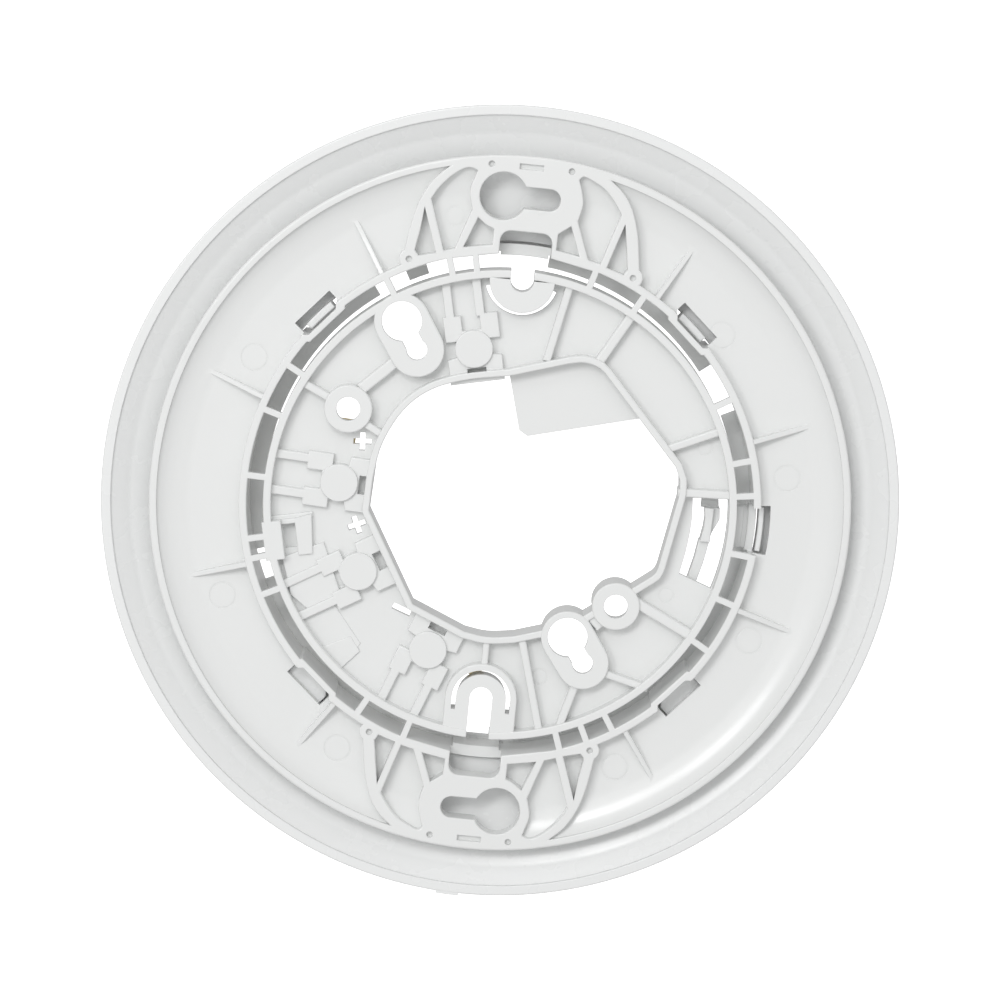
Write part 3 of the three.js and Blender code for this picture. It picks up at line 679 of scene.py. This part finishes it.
# ---------------------------------------------------------------- trim ring
def trim_ring():
    """The dished ring with its sleeve, the hooks and shelves inside it, and the lug on its rim."""
    shell = lathe(rounded_profile([
        (RING_IN, SLEEVE_BOTTOM, 0.3), (SLEEVE_OUT, SLEEVE_BOTTOM, 0.4), (SLEEVE_OUT, -9.55, 0.8),
        (61, -9.3, 4), (67, -8.2, 6), (72, -6.6, 6), (75.6, -4.6, 2), (RING_OUT, -2.9, 0.5),
        (RING_OUT, RING_RIM, 0.4), (RING_STEP, RING_RIM, 0.25), (RING_STEP, RING_RIM - 0.6, 0.1),
        (72, -4.6, 5), (67, -6.3, 6), (61, -7.3, 4), (RING_IN, -7.6, 0.2)], 6), 256)
    hooks = [block(sector(HOOK_IN, HOOK_OUT, a - HOOK_HALF, a + HOOK_HALF), HOOK_ROOT, HOOK_TOP, 0.3)
             for a in HOOK_ANGLES]
    hooks.append(block(sector(HOOK_IN + 0.5, HOOK_OUT + 0.1, -5, 4.8), HOOK_ROOT, HOOK_TOP - 0.2, 0.3))
    shelf = [(49.8, -3), (51.2, -4.45), (53.6, -4.45), (53.6, 4.45), (51.2, 4.45), (49.8, 3)]
    shelves = [block(moved(shelf, 0, 0, a), SHELF_ROOT, SHELF_TOP, 0.3) for a in SHELF_ANGLES]
    lug_outline = sector(RING_OUT - 0.5, RING_OUT + 0.45, 266.2, 269.5)
    lug = block(lug_outline, RING_RIM - 0.9, RING_RIM - 0.1, 0.15, 0.15)
    return joined([shell, *hooks, *shelves, lug])


def tamper_arm():
    """The springy arm in the latch window: a root, a raised finger with a wedge, and a deep stop."""
    root = block([(37.6, -12.4), (39.4, -12.9), (40.7, -8), (41.2, -5), (41.45, -3.5), (39.35, -3.5),
                  (38.85, -7)], -9.5, -6.2, 0.2, 0.2)
    finger = block([(39.5, -3.7), (41.45, -3.7), (41.6, 3), (39.75, 3), (40.05, 1), (39.95, -1)],
                   -9.5, -5, 0.2, 0.2)
    wedge = block([(41.35, -3.5), (41.75, -1.9), (43, 0.8), (42.8, 3), (41.4, 3)], -9.5, -6.4, 0.2, 0.2)
    stop = block([(39.2, 2.7), (42.7, 2.7), (42.5, 4.4), (39.2, 4.4)], -10.5, -8, 0.25, 0.25)
    return joined([root, finger, wedge, stop])


# ---------------------------------------------------------------- terminals, about the screw's axis
def screw_hole():
    return stacked([[(x, y, z) for x, y in circle(0, 0, SCREW_HOLE_R)] for z in (-9, -3)])


def terminal_plate():
    body = block(rectangle(-4.2, -TERMINAL_HALF, 4.2, TERMINAL_HALF), PLATE_BOTTOM, PLATE_TOP, 0.12, 0.15)
    return cut(body, [screw_hole()])


def wire_clamp():
    """The square clamp, with five V grooves across the face that grips the wire."""
    body = block(rectangle(-3.6, -3.9, 3.6, 3.9), CLAMP_BOTTOM, CLAMP_TOP, 0.15, 0.25)
    tools = [screw_hole()]
    pitch, half, depth, over = 1.3, 0.26, 0.25, 0.1
    for i in range(-2, 3):
        middle = i * pitch
        lips = CLAMP_TOP + over
        groove = ((middle - half, lips), (middle, CLAMP_TOP - depth), (middle + half, lips))
        tools.append(stacked([[(x, y, z) for y, z in groove] for x in (-5, 5)]))
    return cut(body, tools)


def terminal_screw():
    """A pan head screw with a crossed recess; its thread is a stack of ridges at the pitch."""
    rim = [(SCREW_HEAD_R - inward, HEAD_BOTTOM + down) for inward, down in quarter(0.9, 6)[::-1]]
    profile = [*rim, (SCREW_HEAD_R, HEAD_TOP - 0.1), (SCREW_HEAD_R - 0.1, HEAD_TOP), (SCREW_R, HEAD_TOP)]
    pitch, depth = 0.7, 0.16
    turns = int((SCREW_TIP - HEAD_TOP) / pitch)
    for k in range(turns * 4):
        ridge = SCREW_R - depth * (0.5 + 0.5 * math.cos(2 * math.pi * k / 4))
        profile.append((ridge, HEAD_TOP + 0.1 + k * pitch / 4))
    profile.append((profile[-1][0] * 0.7, SCREW_TIP))
    rings = [[(x, y, z) for x, y in circle(0, 0, r, 48)] for r, z in profile]
    slot = block(rectangle(-4, -0.5, 4, 0.5), HEAD_BOTTOM - 1, HEAD_BOTTOM + 1, 0.1)
    recess = block(rectangle(-0.5, -1.9, 0.5, 1.9), HEAD_BOTTOM - 1, HEAD_BOTTOM + 1, 0.1)
    return cut(stacked(rings), [slot, recess])


def contact_leaf(turn):
    """A bent spring strip that leaves the terminal plate along +Y, or along -Y if turn is negative."""
    root = TERMINAL_HALF + 0.3
    middle = smooth([(root, -5.95), (root + 1.2, -6.3), (root + 5, -8.6), (root + 5.8, -8.75),
                     (root + 7, -8.1)], 6)
    outline = strip(middle, 0.46)
    loops = []
    for x, shrink in ((-1.9, 0.12), (-1.75, 0), (1.75, 0), (1.9, 0.12)):
        loops.append([(x, y, z) for y, z in grown(anticlockwise(outline), -shrink)])
    mesh = stacked(loops)
    if turn < 0:
        mesh.transform(Matrix.Rotation(math.pi, 4, "Z"))
    return mesh


# ---------------------------------------------------------------- materials
def material(name):
    """A new material, with the parts that its builder needs."""
    made = bpy.data.materials.new(name)
    made.use_nodes = True
    nodes, links = made.node_tree.nodes, made.node_tree.links
    shader = nodes["Principled BSDF"]
    coords = nodes.new("ShaderNodeTexCoord")
    return made, nodes, links, shader, coords


def noise(nodes, links, coords, scale, detail):
    node = nodes.new("ShaderNodeTexNoise")
    node.inputs["Scale"].default_value = scale
    node.inputs["Detail"].default_value = detail
    links.new(coords.outputs["Object"], node.inputs["Vector"])
    return node


def ramp(nodes, links, source, low, high):
    """Maps the middle range of a noise to values from low to high."""
    node = nodes.new("ShaderNodeMapRange")
    node.inputs["From Min"].default_value = 0.3
    node.inputs["From Max"].default_value = 0.7
    node.inputs["To Min"].default_value = low
    node.inputs["To Max"].default_value = high
    links.new(source, node.inputs["Value"])
    return node.outputs["Result"]


def tinted(nodes, links, source, first, second):
    """A colour that a noise mixes from two."""
    node = nodes.new("ShaderNodeMix")
    node.data_type = "RGBA"
    node.inputs["A"].default_value = (*first, 1)
    node.inputs["B"].default_value = (*second, 1)
    links.new(source, node.inputs["Factor"])
    return node.outputs["Result"]


def bump(nodes, links, shader, source, distance, below=None):
    """A bump of that depth in metres, over an earlier bump where one is given."""
    node = nodes.new("ShaderNodeBump")
    node.inputs["Distance"].default_value = distance
    links.new(source, node.inputs["Height"])
    if below is not None:
        links.new(below.outputs["Normal"], node.inputs["Normal"])
    links.new(node.outputs["Normal"], shader.inputs["Normal"])
    return node


def plastic(name, first, second, rough_low, rough_high):
    """Moulded plastic: two close tints, a satin gloss, faint sink marks and a fine grain."""
    made, nodes, links, shader, coords = material(name)
    cloud = noise(nodes, links, coords, 45, 4)
    links.new(tinted(nodes, links, cloud.outputs["Fac"], first, second), shader.inputs["Base Color"])
    satin = noise(nodes, links, coords, 160, 3)
    links.new(ramp(nodes, links, satin.outputs["Fac"], rough_low, rough_high), shader.inputs["Roughness"])
    sink = noise(nodes, links, coords, 70, 1)
    wavy = bump(nodes, links, shader, sink.outputs["Fac"], SINK_DEPTH)
    fine = noise(nodes, links, coords, 5200, 2)
    bump(nodes, links, shader, fine.outputs["Fac"], GRAIN_DEPTH, wavy)
    shader.inputs["IOR"].default_value = 1.5
    return made


def metal(name, first, second, rough_low, rough_high):
    """Metal with lines from rolling or brushing along its Y direction."""
    made, nodes, links, shader, coords = material(name)
    mapping = nodes.new("ShaderNodeMapping")
    mapping.inputs["Scale"].default_value = (900, 60, 900)
    links.new(coords.outputs["Object"], mapping.inputs["Vector"])
    lines = nodes.new("ShaderNodeTexNoise")
    lines.inputs["Scale"].default_value = 6
    lines.inputs["Detail"].default_value = 3
    links.new(mapping.outputs["Vector"], lines.inputs["Vector"])
    patches = noise(nodes, links, coords, 300, 4)
    links.new(tinted(nodes, links, patches.outputs["Fac"], first, second), shader.inputs["Base Color"])
    links.new(ramp(nodes, links, lines.outputs["Fac"], rough_low, rough_high), shader.inputs["Roughness"])
    bump(nodes, links, shader, lines.outputs["Fac"], BRUSH_DEPTH)
    shader.inputs["Metallic"].default_value = 1
    return made


# ---------------------------------------------------------------- stage
def build_camera():
    """Looks down on the rear face, with the camera tilted, and the part turned in the view."""
    tilt, roll = math.radians(VIEW_TILT), math.radians(VIEW_TURN)
    right = Vector((math.cos(roll), math.sin(roll), 0))
    away = Vector((-math.sin(roll), math.cos(roll), 0))
    back = away * math.sin(tilt) + Vector((0, 0, 1)) * math.cos(tilt)
    up = away * math.cos(tilt) - Vector((0, 0, 1)) * math.sin(tilt)
    data = bpy.data.cameras.new("camera")
    data.sensor_width = 36
    data.lens = data.sensor_width * VIEW_DISTANCE / VIEW_WIDTH
    data.clip_start = 0.05
    camera = bpy.data.objects.new("camera", data)
    axes = Matrix((right, up, back)).transposed().to_4x4()
    camera.matrix_world = Matrix.Translation(away * AIM_SHIFT + back * VIEW_DISTANCE) @ axes
    bpy.context.scene.collection.objects.link(camera)
    bpy.context.scene.camera = camera


def area_light(name, size, watts, spot):
    """A square softbox that faces the part."""
    data = bpy.data.lights.new(name, "AREA")
    data.shape = "SQUARE"
    data.size = size
    data.energy = watts
    light = bpy.data.objects.new(name, data)
    light.location = spot
    light.rotation_euler = (-Vector(spot)).to_track_quat("-Z", "Y").to_euler()
    bpy.context.scene.collection.objects.link(light)


def build_floor():
    """A white floor that only the camera sees, so it doesn't light the part."""
    mesh = bpy.data.meshes.new("floor")
    corners = rectangle(-FLOOR_HALF, -FLOOR_HALF, FLOOR_HALF, FLOOR_HALF)
    mesh.from_pydata([(x, y, FLOOR_LEVEL) for x, y in corners], [], [(0, 1, 2, 3)])
    floor = bpy.data.objects.new("floor", mesh)
    bpy.context.scene.collection.objects.link(floor)
    made, nodes, links, shader, coords = material("floor_paper")
    cloud = noise(nodes, links, coords, 3, 3)
    paper = tinted(nodes, links, cloud.outputs["Fac"], (0.86, 0.86, 0.86), (0.9, 0.9, 0.9))
    links.new(paper, shader.inputs["Base Color"])
    shader.inputs["Roughness"].default_value = 0.9
    shader.inputs["Emission Color"].default_value = (1, 1, 1, 1)
    shader.inputs["Emission Strength"].default_value = 1.0
    mesh.materials.append(made)
    floor.visible_diffuse = False
    floor.visible_glossy = False


def build_lights():
    """A sky that is brighter overhead, and the softboxes."""
    world = bpy.data.worlds.new("studio")
    bpy.context.scene.world = world
    world.use_nodes = True
    nodes, links = world.node_tree.nodes, world.node_tree.links
    direction = nodes.new("ShaderNodeTexCoord")
    parts = nodes.new("ShaderNodeSeparateXYZ")
    height = nodes.new("ShaderNodeMapRange")
    height.interpolation_type = "SMOOTHSTEP"
    for socket, value in SKY:
        height.inputs[socket].default_value = value
    nodes["Background"].inputs["Color"].default_value = (1, 1, 1, 1)
    links.new(direction.outputs["Generated"], parts.inputs["Vector"])
    links.new(parts.outputs["Z"], height.inputs["Value"])
    links.new(height.outputs["Result"], nodes["Background"].inputs["Strength"])
    for light in LIGHTS:
        area_light(*light)
    bpy.context.scene.view_settings.view_transform = "Standard"


# ---------------------------------------------------------------- assembly
build_camera()
build_floor()
build_lights()

WHITE = plastic("white_plastic", (0.802, 0.810, 0.804), (0.812, 0.820, 0.815), 0.2, 0.27)
# the ring's tints are a lighter copy of the white plastic: painted light that brightens the shade in its dish
RING_WHITE_WITH_PAINTED_LIGHT = plastic("ring_plastic", (0.828, 0.836, 0.833), (0.836, 0.844, 0.841), 0.24, 0.3)
BRASS = metal("spring_brass", (0.72, 0.58, 0.30), (0.80, 0.67, 0.40), 0.2, 0.38)
ZINC = metal("zinc_plate", (0.62, 0.63, 0.64), (0.72, 0.72, 0.70), 0.28, 0.45)
STEEL = metal("screw_steel", (0.66, 0.67, 0.68), (0.76, 0.76, 0.75), 0.22, 0.36)


def place(obj, body, node):
    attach(obj, body)
    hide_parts(node)


place(piece("base_body_moulding", base_body(), WHITE), "base", "base_body")
place(piece("trim_ring_moulding", trim_ring(), RING_WHITE_WITH_PAINTED_LIGHT), "ring", "trim_ring")
place(piece("tamper_arm_moulding", tamper_arm(), WHITE), "tamper_arm", "tamper_arm")
for n, (angle, radius, turn) in enumerate(TERMINALS, 1):
    spot = (*polar(radius, angle), angle)
    strip_n = piece(f"terminal_strip_{n}", terminal_plate(), BRASS, *spot)
    leaf_n = piece(f"leaf_spring_{n}", contact_leaf(turn), BRASS, *spot)
    clamp_n = piece(f"clamp_washer_{n}", wire_clamp(), ZINC, *spot)
    screw_n = piece(f"pan_screw_{n}", terminal_screw(), STEEL, *spot)
    place(strip_n, "base", f"terminal_plate_{n}")
    place(leaf_n, f"contact_leaf_{n}", f"contact_leaf_{n}")
    place(clamp_n, f"wire_clamp_{n}", f"wire_clamp_{n}")
    place(screw_n, f"terminal_screw_{n}", f"terminal_screw_{n}")

bpy.context.view_layer.update()
